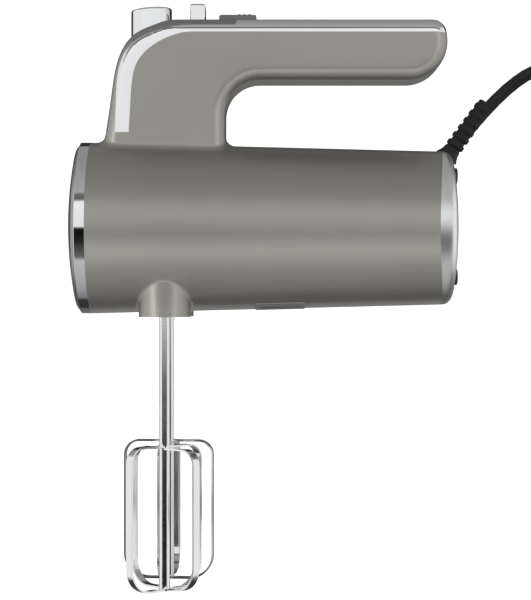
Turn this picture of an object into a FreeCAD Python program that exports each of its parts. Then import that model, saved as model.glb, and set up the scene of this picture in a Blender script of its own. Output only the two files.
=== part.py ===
import FreeCAD, Part
import math
import os

Vector = FreeCAD.Vector

# A hand mixer, in millimetres. +Z is up, the beaters hang at the -X end, and the origin is the grip's centre.

# Barrel: a slightly tapering tube along X that holds the motor
barrel_front_x = -124.3
barrel_length = 178.8
barrel_drop = 90.0
barrel_front_radius = 43.8
barrel_rear_radius = 39.3
seam_bow_radius = 211.0
wall = 3.0
ring_length = 5.3
ring_depth = 3.2
cap_lip = 0.8
cap_bulge = 6.1
cap_crown = 4.75
cap_edge = 3.6
cap_seat = 2.4
rear_bulge = 8.0
rear_crown = 3.38
rear_edge = 5.0
cover_wall = 2.2

# Handle: a grip bar on a column at the front, open at the rear
grip_height = 31.2
grip_width = 34.0
grip_overhang = 2.6
edge_round = 7.0
column_setback = 5.0
column_width = 59.0
column_lean = 4.6
finger_corner = 17.5
foot_fillet = 5.0
skin = 1.6
stripe_top_gap = 3.4
stripe_low_gap = 7.1
nose_corner_radius = edge_round + 0.3
nose_back_radius = 25.0
nose_chin_radius = 20.0
foot_depth = 16.0

# Drive: a worm between two wheels, one for each spindle
spindle_setback = 38.2
spindle_spacing = 40.0
worm_pitch_radius = 4.0
worm_module = 1.0
worm_starts = 2
wheel_width = 8.0
tooth_backlash = 0.42
shaft_radius = 2.8
wheel_teeth = 32
worm_length = 20.0
tooth_height = 0.7
tooth_root = 1.2
bearing_radius = 8.0
bearing_length = 5.0
gearbox_height = 14.0
gearbox_cover_thickness = 2.4
gearbox_wall_half = bearing_radius + 1.5
running_gap = 0.05
part_gap = 0.3

# Beaters
beater_shank_radius = 2.75
beater_radius = 23.7
beater_height = 72.9
beater_drop = 64.6
strip_width = 4.2
strip_thickness = 1.0
strip_top_round = 8.0
strip_low_round = 13.0

# Spindle collars under the barrel
collar_radius = 13.0
collar_reach = 2.6
collar_fillet = 2.5
spindle_radius = 4.6
spindle_bush_radius = 7.0
spindle_bush_length = 14.0

# Motor, behind the gearbox
motor_setback = 95.0
stator_length = 34.0
stator_radius = 31.0
stator_bore = 17.8
rotor_radius = 17.3
rotor_slots = 12
fan_radius = 30.0
fan_blades = 9
commutator_radius = 11.0
commutator_length = 14.0
commutator_bars = 24

# Controls on top of the handle, from front to rear
eject_setback = 25.4
eject_radius = 10.45
eject_height = 22.2
eject_tilt = 4.0
eject_travel = 6.0
eject_rod_radius = 3.0
slider_setback = 49.3
slider_length = 7.9
slider_width = 15.0
slider_neck_width = 6.0
slider_height = 24.3
slider_travel = 8.0
turbo_setback = 69.75
turbo_length = 19.1
turbo_width = 14.0
turbo_height = 18.7
turbo_travel = 2.0
control_gap = 0.35
panel_end_setback = 68.5
panel_slant = 3.0

# Underside plate, feet and screws
vent_front = 83.9
vent_length = 25.0
vent_half_width = 15.5
vent_slots = 4
vent_slot_width = 2.6
vent_margin = 3.0
foot_radius = 4.2
foot_height = 0.7
foot_seat = 4.2
foot_spread = 32.0
foot_angle = math.radians(52.0)
rear_screw_spread = 20.0
screw_radius = 1.5
screw_head_radius = 2.9
screw_head_height = 2.0
boss_radius = 3.6

# Strain relief, leaving the top rear corner upwards
relief_angle = 54.0
relief_wall = 0.3
relief_rib_height = 1.25
relief_rib_length = 2.7
relief_rib_pitch = 4.6
relief_ribs = 6
cord_radius = 3.25
spring_sides = 8

# Inside the handle
eject_cup_z = 12.0
guide_z = -21.5
spring_wire = 0.45
carriage_z = 9.2
board_z = -6.4

# Cord beyond the relief: its route to the floor, its put-away coil and its plug
coil_mean_radius = 36.0
coil_layers = 2
arc_share = 0.45
coil_x = 224.0
coil_y = 12.0
plug_length = 35.0
plug_width = 26.0
plug_thickness = 14.0
pin_radius = 2.0
pin_length = 19.0
pin_spacing = 18.6

# Places that follow from the sizes above
barrel_z = -barrel_drop
barrel_rear_x = barrel_front_x + barrel_length
nose_x = barrel_rear_x + grip_overhang
cap_rim_radius = barrel_front_radius - cap_lip
cap_face_radius = (cap_rim_radius ** 2 + cap_crown ** 2) / (2 * cap_crown)
rear_face_radius = (barrel_rear_radius ** 2 + rear_crown ** 2) / (2 * rear_crown)
foot_face_drop = rear_face_radius - math.sqrt(rear_face_radius ** 2 - foot_spread ** 2)
relief_core_radius = cord_radius + relief_wall
relief_rib_radius = relief_core_radius + relief_rib_height
grip_top = grip_height / 2
grip_half = grip_width / 2
column_front_x = barrel_front_x + column_setback
column_rear_x = column_front_x + column_lean + column_width
spindle_x = barrel_front_x + spindle_setback
spindle_y = spindle_spacing / 2
barrel_top = barrel_z + barrel_front_radius
eject_x = barrel_front_x + column_setback + eject_setback
slider_x = barrel_front_x + column_setback + slider_setback
turbo_x = barrel_front_x + column_setback + turbo_setback
vent_x = barrel_front_x + vent_front
motor_x = barrel_front_x + motor_setback
commutator_x = motor_x + stator_length / 2 + 22
rear_bearing_x = commutator_x + commutator_length / 2 + 5
front_bearing_x = spindle_x - worm_length / 2 - 4 - bearing_length
middle_bearing_x = spindle_x + worm_length / 2 + 4
fan_x = middle_bearing_x + bearing_length + 3
collar_low_z = barrel_z - (
    barrel_front_radius + (barrel_rear_radius - barrel_front_radius) * spindle_setback / barrel_length
) - collar_reach
shank_top_z = barrel_z + wheel_width / 2 + 6.0
cage_top_z = collar_low_z - beater_drop
cage_low_z = cage_top_z - beater_height
barrel_rear_top = barrel_z + barrel_rear_radius
relief_direction = Vector(math.cos(math.radians(relief_angle)), 0, math.sin(math.radians(relief_angle)))
relief_base = Vector(barrel_rear_x + 3.6, 0, barrel_rear_top - 2.25)


def box(x_from, x_to, y_from, y_to, z_from, z_to):
    return Part.makeBox(x_to - x_from, y_to - y_from, z_to - z_from, Vector(x_from, y_from, z_from))


def rod_x(radius, x_from, x_to, y=0.0, z=barrel_z):
    return Part.makeCylinder(radius, x_to - x_from, Vector(x_from, y, z), Vector(1, 0, 0))


def rod_y(radius, y_from, y_to, x, z):
    return Part.makeCylinder(radius, y_to - y_from, Vector(x, y_from, z), Vector(0, 1, 0))


def rod_z(radius, z_from, z_to, x, y):
    return Part.makeCylinder(radius, z_to - z_from, Vector(x, y, z_from), Vector(0, 0, 1))


def tube_x(radius, bore, x_from, x_to, y=0.0, z=barrel_z):
    return rod_x(radius, x_from, x_to, y, z).cut(rod_x(bore, x_from - 1, x_to + 1, y, z))


def tube_z(radius, bore, z_from, z_to, x, y):
    return rod_z(radius, z_from, z_to, x, y).cut(rod_z(bore, z_from - 1, z_to + 1, x, y))


def joined(first, *others):
    return first.fuse(list(others)).removeSplitter()


def half(shape, side):
    # side is -1 for the user's left, +1 for the right
    reach = 400.0
    keep = box(-reach, reach, 0, reach, -reach, reach)
    if side < 0:
        keep = box(-reach, reach, -reach, 0, -reach, reach)
    return shape.common(keep)


# Outer shapes. Each takes an inset, so that a wall or a skin is the shape less its own inset copy.

def barrel_radius(x):
    share = (x - barrel_front_x) / barrel_length
    return barrel_front_radius + share * (barrel_rear_radius - barrel_front_radius)


def domed_end(rim_radius, rim_x, apex_x, face_radius, edge):
    # a disc from the rim to a spherical face, its edge rounded, facing away from the rim
    outward = 1 if apex_x > rim_x else -1
    ball = Part.makeSphere(face_radius, Vector(apex_x - outward * face_radius, 0, barrel_z))
    disc = rod_x(rim_radius, min(rim_x, apex_x), max(rim_x, apex_x)).common(ball)
    rounded = [e for e in disc.Edges if e.BoundBox.XLength < 1e-3 and abs(e.BoundBox.Center.x - rim_x) > 1e-3]
    return disc.makeFillet(edge, rounded)


def barrel_envelope(inset):
    # the barrel and its rear cover as one solid
    front_x = barrel_front_x - 1 if inset else barrel_front_x
    front = barrel_radius(front_x) - inset
    rear = barrel_rear_radius - inset
    cone = Part.makeCone(front, rear, barrel_rear_x - front_x, Vector(front_x, 0, barrel_z), Vector(1, 0, 0))
    apex_x = barrel_rear_x + rear_bulge - inset
    end = domed_end(rear, barrel_rear_x, apex_x, rear_face_radius - inset, rear_edge - inset)
    return joined(cone, end)


def seam_cylinder():
    # its round face is the seam between the barrel and the rear cover, bowed in plan
    reach = 60.0
    return rod_z(seam_bow_radius, barrel_z - reach, barrel_z + reach, barrel_rear_x - seam_bow_radius, 0)


def spline(points, start=None, end=None):
    curve = Part.BSplineCurve()
    places = [Vector(x, 0, z) for x, z in points]
    if start:
        curve.interpolate(places, InitialTangent=Vector(start[0], 0, start[1]),
                          FinalTangent=Vector(end[0], 0, end[1]))
    else:
        curve.interpolate(places)
    return curve.toShape()


def line(start, end):
    return Part.makeLine(Vector(start[0], 0, start[1]), Vector(end[0], 0, end[1]))


def arc(start, middle, end):
    return Part.Arc(*(Vector(x, 0, z) for x, z in (start, middle, end))).toShape()


def arch_points(inset):
    # the outside of the arch, from the column's front over to the grip's top
    front = column_front_x + column_lean
    return [
        (front + inset, -grip_top * 1.92),
        (front + 2.1 + inset, -14.5),
        (front + 6.0 + inset * 0.94, -0.6 - inset * 0.3),
        (front + 13.1 + inset * 0.6, grip_top - 7.2 - inset * 0.8),
        (front + 23.6 + inset * 0.3, grip_top - 2.3 - inset * 0.95),
        (front + 35.0, grip_top - inset),
    ]


def handle_outline(inset):
    # the side view of the handle as a closed wire, its foot inside the barrel
    top = grip_top - inset
    front = column_front_x + column_lean
    root_z = barrel_top - foot_depth
    lean = (root_z - arch_points(0)[0][1]) / 30.0 * column_lean
    arch = arch_points(inset)
    # the back of the nose is a wide arc with a tighter one over it and a wide one under it
    back_centre = (nose_x - nose_back_radius, nose_chin_radius - grip_top)
    corner = nose_corner_radius - inset
    corner_z = top - corner
    gap = nose_back_radius - nose_corner_radius
    rise = corner_z - back_centre[1]
    corner_x = back_centre[0] + math.sqrt(gap * gap - rise * rise)
    turn = math.atan2(rise, corner_x - back_centre[0])
    back = nose_back_radius - inset
    chin = nose_chin_radius - inset
    heel = finger_corner + inset
    rear = column_rear_x - inset
    heel_x = column_rear_x + finger_corner
    heel_z = -grip_top - finger_corner

    def around(centre, radius, angle):
        return (centre[0] + radius * math.cos(angle), centre[1] + radius * math.sin(angle))

    chin_centre = (nose_x - nose_chin_radius, back_centre[1])
    corner_centre = (corner_x, corner_z)
    heel_centre = (heel_x, heel_z)
    quarter = math.pi / 2
    edges = [
        line((front + inset + lean, root_z), arch[0]),
        spline(arch, (-lean, arch[0][1] - root_z), (1, 0)),
        line(arch[-1], (corner_x, top)),
        arc((corner_x, top), around(corner_centre, corner, (quarter + turn) / 2),
            around(back_centre, back, turn)),
        arc(around(back_centre, back, turn), around(back_centre, back, turn / 2),
            around(back_centre, back, 0)),
        arc(around(chin_centre, chin, 0), around(chin_centre, chin, -quarter / 2),
            around(chin_centre, chin, -quarter)),
        line((chin_centre[0], inset - grip_top), (heel_x, inset - grip_top)),
        arc((heel_x, heel_z + heel), around(heel_centre, heel, quarter * 1.5), (rear, heel_z)),
        line((rear, heel_z), (rear, root_z)),
        line((rear, root_z), (front + inset + lean, root_z)),
    ]
    return Part.Wire(Part.__sortEdges__(edges))


def handle_solid(inset):
    half_width = grip_half - inset
    face = Part.Face(handle_outline(inset))
    face.translate(Vector(0, -half_width, 0))
    solid = face.extrude(Vector(0, 2 * half_width, 0))
    root_z = barrel_top - foot_depth
    rims = [
        e for e in solid.Edges
        if e.BoundBox.YLength < 1e-3 and e.BoundBox.ZMax > root_z + 1
    ]
    return solid.makeFillet(edge_round - inset, rims)


def edges_where(shape, wanted, surface_type):
    # edges inside a box, between one face on a surface of this type and one that is not
    found = []
    for edge in shape.Edges:
        if not wanted.isInside(edge.BoundBox):
            continue
        kinds = [face.Surface.TypeId == surface_type for face in shape.ancestorsOfType(edge, Part.Face)]
        if len(kinds) == 2 and kinds[0] != kinds[1]:
            found.append(edge)
    return found


def region(points_or_edges, half_width=60.0):
    # a prism across the mixer from a closed outline in the side view
    face = Part.Face(Part.Wire(Part.__sortEdges__(points_or_edges)))
    face.translate(Vector(0, -half_width, 0))
    return face.extrude(Vector(0, 2 * half_width, 0))


def polygon(points):
    return [line(a, b) for a, b in zip(points, points[1:] + points[:1])]


# Housing

def housing_outer():
    shape = joined(barrel_envelope(0).common(seam_cylinder()), handle_solid(0))
    foot = FreeCAD.BoundBox(column_front_x - 3, -grip_half - 3, barrel_top - 12,
                            column_rear_x + 3, grip_half + 3, barrel_top + 3)
    shape = shape.makeFillet(foot_fillet, edges_where(shape, foot, "Part::GeomCone"))
    for side in (-1, 1):
        boss = rod_z(collar_radius, collar_low_z, barrel_z, spindle_x, side * spindle_y)
        shape = shape.fuse(boss)
    reach = collar_radius + 3
    for side in (-1, 1):
        y = side * spindle_y
        around = FreeCAD.BoundBox(spindle_x - reach, y - reach, collar_low_z - 3,
                                  spindle_x + reach, y + reach, barrel_z - 5)
        shape = shape.makeFillet(collar_fillet, edges_where(shape, around, "Part::GeomCone"))
    return shape


def trim_edges():
    # the two edges of the side stripe, as splines from the column's foot to the grip
    front = column_front_x + column_lean

    def place(points):
        return [(front + along, grip_top + up) for along, up in points]

    low = place([(10.3, -57.8), (11.4, -37.9), (14.2, -23.2), (22.5, -13.9), (34.2, -8.3),
                 (44.0, -stripe_low_gap)])
    top = place([(3.5, -57.8), (3.8, -38.0), (6.1, -22.0), (12.2, -12.5), (25.4, -6.1),
                 (44.0, -stripe_top_gap)])
    return low, top


def skin_shape():
    return handle_solid(0).cut(handle_solid(skin))


def trim_region():
    low, top = trim_edges()
    panel_end = column_front_x + panel_end_setback
    beyond = nose_x + 5
    return region([
        spline(low, (0.05, 1), (1, 0)),
        line(low[-1], (beyond, low[-1][1])),
        line((beyond, low[-1][1]), (beyond, grip_top + 5)),
        line((beyond, grip_top + 5), (panel_end + panel_slant, grip_top + 5)),
        line((panel_end + panel_slant, grip_top + 5), (panel_end, top[-1][1])),
        line((panel_end, top[-1][1]), top[-1]),
        spline(top, (0.0, 1), (1, 0)),
        line(top[0], low[0]),
    ])


def panel_region():
    top = trim_edges()[1]
    panel_end = column_front_x + panel_end_setback
    front = top[0][0] - 20
    above = region([
        spline(top, (0.0, 1), (1, 0)),
        line(top[-1], (panel_end, top[-1][1])),
        line((panel_end, top[-1][1]), (panel_end + panel_slant, grip_top + 5)),
        line((panel_end + panel_slant, grip_top + 5), (front, grip_top + 5)),
        line((front, grip_top + 5), (front, top[0][1])),
        line((front, top[0][1]), top[0]),
    ])
    seam = top[3]
    ahead = region(polygon([(seam[0], seam[1]), (seam[0] - 8, seam[1] + 16), (front - 5, seam[1] + 16),
                            (front - 5, top[0][1] - 5), (seam[0], top[0][1] - 5)]))
    return above.cut(ahead)


def rounded_plate(length, width, height, x, z, corner):
    # a plate with upright rounded corners, centred on x and the middle of the mixer, standing on z
    plate = box(x - length / 2, x + length / 2, -width / 2, width / 2, z, z + height)
    upright = [e for e in plate.Edges if e.BoundBox.ZLength > height - 1e-3]
    return plate.makeFillet(corner, upright)


def control_openings():
    # clear of each control by the control gap, over the whole of its travel
    eject = rod_z(eject_radius + control_gap, -grip_top, grip_top + 20, eject_x, 0)
    slot_length = slider_length + slider_travel + 2 * control_gap
    slot_width = slider_neck_width + 2 * control_gap
    slot = rounded_plate(slot_length, slot_width, 40, slider_x - slider_travel / 2, 0, 1.5)
    turbo = rounded_plate(turbo_length + 2 * control_gap, turbo_width + 2 * control_gap, 40, turbo_x, 0, 2.5)
    return [eject, slot, turbo]


def handle_trim():
    shape = skin_shape().common(trim_region())
    return shape.cut(control_openings()[2])


def control_panel():
    return skin_shape().common(panel_region()).cut(control_openings())


def screw_places():
    # x and z of the screws that hold the halves together
    return [
        (nose_x - 14, 0.0),
        (column_rear_x - 7, -grip_top - 16),
        (column_front_x + 16, -grip_top - 14),
        (barrel_rear_x - 14, barrel_z - barrel_rear_radius + wall + boss_radius + 0.5),
        (barrel_front_x + 70, barrel_z - barrel_radius(barrel_front_x + 70) + wall + boss_radius + 0.5),
    ]


def screw_y(x, z, head_y, length):
    # its head at the right, its tip to the left
    return joined(rod_y(screw_head_radius, head_y, head_y + screw_head_height, x, z),
                  rod_y(screw_radius, head_y - length, head_y, x, z))


def housing_screws():
    return Part.makeCompound([screw_y(x, z, 5.0, 16.0) for x, z in screw_places()])


def vent_slot_cutters():
    # lengthwise, an even number of them, so that a bar stands over the seam
    spread = 2 * (vent_half_width - vent_margin)
    pitch = spread / vent_slots
    return [
        box(vent_x + vent_margin, vent_x + vent_length - vent_margin, y - vent_slot_width / 2,
            y + vent_slot_width / 2, barrel_z - barrel_front_radius - 5, barrel_z - barrel_rear_radius + wall + 4)
        for y in [pitch * (n + 0.5) - spread / 2 for n in range(vent_slots)]
    ]


def vent_plate():
    # let into the barrel's underside
    strip = barrel_envelope(-0.4).cut(barrel_envelope(skin))
    area = box(vent_x, vent_x + vent_length, -vent_half_width, vent_half_width,
               barrel_z - barrel_front_radius - 5, barrel_z - 20)
    return strip.common(area).cut(vent_slot_cutters())


def relief_foot():
    low = relief_base - relief_direction
    return Part.makeCone(relief_rib_radius + 1.4, relief_rib_radius - 0.3, 5.0, low, relief_direction)


def strain_relief():
    def along(distance):
        return relief_base + relief_direction * distance

    def piece(radius, start, end):
        return Part.makeCylinder(radius, end - start, along(start), relief_direction)

    tip = 6.0 + relief_ribs * relief_rib_pitch
    parts = [piece(relief_core_radius, -12.0, tip), piece(relief_rib_radius + 1.6, -8.0, -6.0)]
    parts.append(relief_foot())
    for rib in range(relief_ribs):
        start = 5.6 + rib * relief_rib_pitch
        parts.append(piece(relief_rib_radius, start, start + relief_rib_length))
    return joined(*parts).cut(piece(cord_radius, -20.0, tip + 5))


def relief_hole():
    # the straight hole and the seat of the relief's foot
    def along(distance):
        return relief_base + relief_direction * distance

    hole = Part.makeCylinder(relief_core_radius + running_gap, 24, along(-14), relief_direction)
    collar = Part.makeCylinder(relief_rib_radius + 1.7, 2.2, along(-8.1), relief_direction)
    return joined(hole, collar, relief_foot())


def housing_shell():
    outer = housing_outer()
    hollow = joined(barrel_envelope(wall), handle_solid(wall))
    bosses = [rod_y(boss_radius, -grip_half * 3, grip_half * 3, x, z) for x, z in screw_places()]
    ribs = [tube_x(barrel_front_radius, stator_radius, x, x + 2) for x in (motor_x - 12, motor_x + 10)]
    filled = hollow.cut(bosses + ribs)
    shell = outer.cut(filled)
    vent_seat = barrel_envelope(-2).cut(barrel_envelope(skin)).common(vent_area())
    shell = shell.cut([handle_trim_seat(), vent_seat])
    cutters = control_openings() + vent_slot_cutters() + [relief_hole()] + spindle_bores()
    for x, z in screw_places():
        cutters.append(rod_y(screw_radius, -11.0, 5.0, x, z))
        cutters.append(rod_y(screw_head_radius + 0.1, 5.0, grip_half * 3, x, z))
    return shell.cut(cutters)


def handle_trim_seat():
    return skin_shape().common(trim_region()).fuse(skin_shape().common(panel_region()))


def vent_area():
    return box(vent_x, vent_x + vent_length, -vent_half_width, vent_half_width,
               barrel_z - barrel_front_radius - 5, barrel_z - 20)


def spindle_bores():
    return [
        rod_z(spindle_bush_radius, barrel_z - barrel_front_radius - 10, barrel_z, spindle_x, side * spindle_y)
        for side in (-1, 1)
    ]


def front_ring():
    # a bright hoop round the barrel's front with a spigot inside the barrel
    front_x = barrel_front_x - ring_length
    hoop = tube_x(barrel_front_radius, barrel_front_radius - ring_depth, front_x, barrel_front_x)
    inner = barrel_radius(barrel_front_x + 4) - wall
    spigot = tube_x(inner, inner - 1.8, front_x + cap_seat + 0.4, barrel_front_x + 4)
    lip = [
        e for e in hoop.Edges
        if e.BoundBox.XMax < front_x + 0.01 and abs(e.Length / (2 * math.pi) - barrel_front_radius) < 0.1
    ]
    seat = rod_x(cap_rim_radius + running_gap, front_x - 1, front_x + cap_seat)
    return joined(hoop.makeFillet(0.45, lip).cut(seat), spigot)


def front_cap():
    rim_x = barrel_front_x - ring_length + cap_seat
    apex_x = barrel_front_x - ring_length - cap_bulge
    dome = domed_end(cap_rim_radius, rim_x, apex_x, cap_face_radius, cap_edge)
    hollow = domed_end(cap_rim_radius - cover_wall, rim_x, apex_x + cover_wall, cap_face_radius - cover_wall,
                       cap_edge - cover_wall + 0.4)
    return dome.cut(hollow)


def foot_places():
    return [
        (side * foot_spread * math.cos(foot_angle), barrel_z + up * foot_spread * math.sin(foot_angle))
        for side in (-1, 1) for up in (-1, 1)
    ]


def foot_solid(y, z):
    # a rubber pad pressed into the rear cover's face, a little proud of it
    apex_x = barrel_rear_x + rear_bulge
    pad = rod_x(foot_radius, apex_x - foot_seat, apex_x - foot_face_drop + foot_height, y, z)
    face_edge = max(pad.Edges, key=lambda e: e.BoundBox.Center.x)
    return pad.makeFillet(0.8, [face_edge])


def rear_feet():
    return Part.makeCompound([foot_solid(y, z) for y, z in foot_places()])


def rear_screw_places():
    return [(side * rear_screw_spread, barrel_z) for side in (-1, 1)]


def rear_cover():
    cover = barrel_envelope(0).cut(barrel_envelope(cover_wall)).cut(seam_cylinder())
    apex_x = barrel_rear_x + rear_bulge
    cutters = [rod_x(foot_radius, apex_x - foot_seat, apex_x + 5, y, z) for y, z in foot_places()]
    for y, z in rear_screw_places():
        boss = rod_x(boss_radius + 1, barrel_rear_x - 2, apex_x - cover_wall, y, z)
        cover = cover.fuse(boss)
        cutters.append(rod_x(screw_head_radius + 0.2, apex_x - 3.4, apex_x + 5, y, z))
        cutters.append(rod_x(screw_radius + 0.1, barrel_rear_x - 5, apex_x, y, z))
    pockets = [rod_x(foot_radius + 1.2, apex_x - foot_seat - 1.2, apex_x - 1, y, z) for y, z in foot_places()]
    cover = cover.fuse([p.common(barrel_envelope(0)) for p in pockets])
    cutters.append(relief_hole())
    return cover.cut(cutters).removeSplitter()


def rear_screws():
    apex_x = barrel_rear_x + rear_bulge
    head_x = apex_x - 3.4
    return Part.makeCompound([
        joined(rod_x(screw_head_radius, head_x, head_x + screw_head_height, y, z),
               rod_x(screw_radius, head_x - 16, head_x, y, z))
        for y, z in rear_screw_places()
    ])


# Drive

def worm_thread():
    # one thread, its axis along Z, its middle at the origin and at the +X side there
    lead = math.pi * worm_module * worm_starts
    low = worm_pitch_radius - tooth_root - 0.15
    high = worm_pitch_radius + tooth_height
    half_thick = math.pi * worm_module / 4 - tooth_backlash / 2
    slope = math.tan(math.radians(20))
    low_half = half_thick + (worm_pitch_radius - low) * slope
    high_half = half_thick - (high - worm_pitch_radius) * slope
    corners = [Vector(low, 0, -low_half), Vector(high, 0, -high_half), Vector(high, 0, high_half),
               Vector(low, 0, low_half)]
    profile = Part.makePolygon(corners + corners[:1])
    helix = Part.makeHelix(lead, worm_length, worm_pitch_radius)
    thread = Part.Wire(helix).makePipeShell([profile], True, True)
    thread.translate(Vector(0, 0, -worm_length / 2))
    thread.rotate(Vector(0, 0, 0), Vector(0, 0, 1), -math.degrees(worm_length / 2 / lead * 2 * math.pi))
    return thread


def motor_shaft():
    # the shaft with its worm cut between the front and middle bearings
    shaft = rod_x(shaft_radius, front_bearing_x, rear_bearing_x + bearing_length)
    threads = []
    for start in range(worm_starts):
        thread = worm_thread()
        thread.rotate(Vector(0, 0, 0), Vector(0, 0, 1), start * 360.0 / worm_starts)
        thread.rotate(Vector(0, 0, 0), Vector(1, 1, 1), 120)
        thread.translate(Vector(spindle_x, 0, barrel_z))
        threads.append(thread)
    return shaft.fuse(threads)


def toothed_wire(pitch_radius, z, turn):
    # a closed outline with a gap on the X and Y axes at a turn of nought
    root = pitch_radius - tooth_root
    tip = pitch_radius + tooth_height
    step = 2 * math.pi / wheel_teeth
    pitch_half = step / 4 - tooth_backlash / 2 / pitch_radius
    slope = math.tan(math.radians(20))
    points = []
    for tooth in range(wheel_teeth):
        middle = (tooth + 0.5) * step + turn
        for radius, side in ((root, -1), (tip, -1), (tip, 1), (root, 1)):
            half_angle = pitch_half + (pitch_radius - radius) * slope / pitch_radius
            angle = middle + side * half_angle
            points.append(Vector(radius * math.cos(angle), radius * math.sin(angle), z))
    return Part.makePolygon(points + points[:1])


def worm_wheel(side):
    pitch_radius = spindle_y - worm_pitch_radius
    twist = wheel_width / 2 * worm_starts * worm_module / 2 / worm_pitch_radius / pitch_radius
    layers = 4
    wires = []
    for layer in range(layers + 1):
        rise = 2 * layer / layers - 1
        wires.append(toothed_wire(pitch_radius, rise * wheel_width / 2, rise * twist))
    wheel = Part.makeLoft(wires, True, True)
    wheel.translate(Vector(spindle_x, side * spindle_y, barrel_z))
    bore = rod_z(spindle_radius, barrel_z - wheel_width, barrel_z + wheel_width, spindle_x, side * spindle_y)
    return wheel.cut(bore)


def spindle(side):
    # a tube that carries the wheel and takes the beater's shank
    y = side * spindle_y
    top = barrel_z + wheel_width / 2 + 3.0
    tube = tube_z(spindle_radius, beater_shank_radius + running_gap, collar_low_z + 1.0, top, spindle_x, y)
    seat = barrel_z - wheel_width / 2
    flange = tube_z(spindle_radius + 2.0, spindle_radius, seat - 2.0, seat, spindle_x, y)
    return joined(tube, flange)


def spindle_bush(side):
    y = side * spindle_y
    top = collar_low_z + spindle_bush_length
    return tube_z(spindle_bush_radius, spindle_radius + running_gap, collar_low_z, top, spindle_x, y)


def beater_turn(side):
    # how far round each beater's first loop stands from the X axis, so that the two pass between each other
    return 45.0 if side < 0 else -7.0


def beater_shaft(side):
    # runs from the spindle down through the cage to its foot
    y = side * spindle_y
    shank = rod_z(beater_shank_radius, cage_low_z, shank_top_z, spindle_x, y)
    nose = max(shank.Edges, key=lambda e: e.BoundBox.Center.z)
    return shank.makeChamfer(0.8, [nose])


def beater_loop(side, which):
    # a closed flat strip: straight sides, rounded corners, the second loop one strip inside the first
    step = which * (strip_thickness + 0.05)
    top = cage_top_z - step
    low = cage_low_z + step
    outer = loop_outline(beater_radius, top, low, 0.0)
    inner = loop_outline(beater_radius, top, low, strip_thickness)
    band = Part.Face(outer).cut(Part.Face(inner))
    band.translate(Vector(0, -strip_width / 2, 0))
    band = band.extrude(Vector(0, strip_width, 0))
    band.rotate(Vector(0, 0, 0), Vector(0, 0, 1), beater_turn(side) + 90 * which)
    band.translate(Vector(spindle_x, side * spindle_y, 0))
    return band.cut(rod_z(beater_shank_radius, cage_low_z - 5, cage_top_z + 5, spindle_x, side * spindle_y))


def loop_outline(radius, top, low, inset):
    side = radius - inset
    high = top - inset
    base = low + inset
    upper = strip_top_round - inset
    lower = strip_low_round - inset
    upper_in = upper * (1 - math.sqrt(0.5))
    lower_in = lower * (1 - math.sqrt(0.5))
    edges = []
    for hand in (-1, 1):
        edges.append(arc((hand * (side - upper), high), (hand * (side - upper_in), high - upper_in),
                         (hand * side, high - upper)))
        edges.append(line((hand * side, high - upper), (hand * side, base + lower)))
        edges.append(arc((hand * side, base + lower), (hand * (side - lower_in), base + lower_in),
                         (hand * (side - lower), base)))
    edges.append(line((side - upper, high), (upper - side, high)))
    edges.append(line((side - lower, base), (lower - side, base)))
    return Part.Wire(Part.__sortEdges__(edges))


def bearing(x):
    return tube_x(bearing_radius, shaft_radius + running_gap, x, x + bearing_length)


def gearbox_cradle():
    # a floor under the wheels and two walls that hold the bearings
    base_z = barrel_z - wheel_width / 2 - 7.0
    front = front_bearing_x - 1
    rear = middle_bearing_x + bearing_length + 1
    reach = barrel_radius(rear) - wall
    half_width = math.sqrt(reach * reach - (barrel_z - base_z) ** 2) - part_gap
    floor = box(front, rear, -half_width, half_width, base_z, base_z + 3)
    walls = [
        box(x, x + bearing_length, -gearbox_wall_half, gearbox_wall_half, base_z, barrel_z + gearbox_height)
        for x in (front_bearing_x, middle_bearing_x)
    ]
    cuts = [rod_x(bearing_radius, front - 2, rear + 2)]
    cuts += [rod_z(spindle_radius + part_gap, base_z - 1, base_z + 4, spindle_x, side * spindle_y)
             for side in (-1, 1)]
    cuts += [rod_z(screw_radius, barrel_z + gearbox_height - 4.0, barrel_z + gearbox_height + 1, x, y)
             for x, y in gearbox_screw_places()]
    return joined(floor, *walls).cut(cuts)


def gearbox_cover():
    # a plate over the wheels, on the cradle's walls, with holes that the shanks' ends and the pins pass
    z = barrel_z + gearbox_height
    front = front_bearing_x
    rear = middle_bearing_x + bearing_length
    plate = box(front, rear, -spindle_y - 8, spindle_y + 8, z, z + gearbox_cover_thickness)
    holes = [rod_z(beater_shank_radius + 1.5, z - 1, z + 4, spindle_x, side * spindle_y) for side in (-1, 1)]
    holes += [rod_z(screw_radius, z - 1, z + 4, x, y) for x, y in gearbox_screw_places()]
    return plate.cut(holes)


def gearbox_screw_places():
    return [(x + bearing_length / 2, 0.0) for x in (front_bearing_x, middle_bearing_x)]


def gearbox_screws():
    z = barrel_z + gearbox_height + gearbox_cover_thickness
    length = gearbox_cover_thickness + 4.0
    return Part.makeCompound([
        joined(rod_z(screw_head_radius, z, z + screw_head_height, x, y), rod_z(screw_radius, z - length, z, x, y))
        for x, y in gearbox_screw_places()
    ])


# Motor

def stator_core():
    start = motor_x - stator_length / 2
    end = motor_x + stator_length / 2
    yoke = tube_x(stator_radius, stator_radius - 5.5, start, end)
    shoes = tube_x(stator_bore + 2.2, stator_bore, start, end).common(
        box(start, end, -15, 15, barrel_z - 25, barrel_z + 25))
    poles = []
    for up in (-1, 1):
        near = barrel_z + up * (stator_bore + 1)
        far = barrel_z + up * (stator_radius - 5)
        poles.append(box(start, end, -8, 8, min(near, far), max(near, far)))
    shoes_only = shoes.cut(box(start - 1, end + 1, -20, 20, barrel_z - 9, barrel_z + 9))
    return joined(yoke, shoes_only, *poles)


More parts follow.
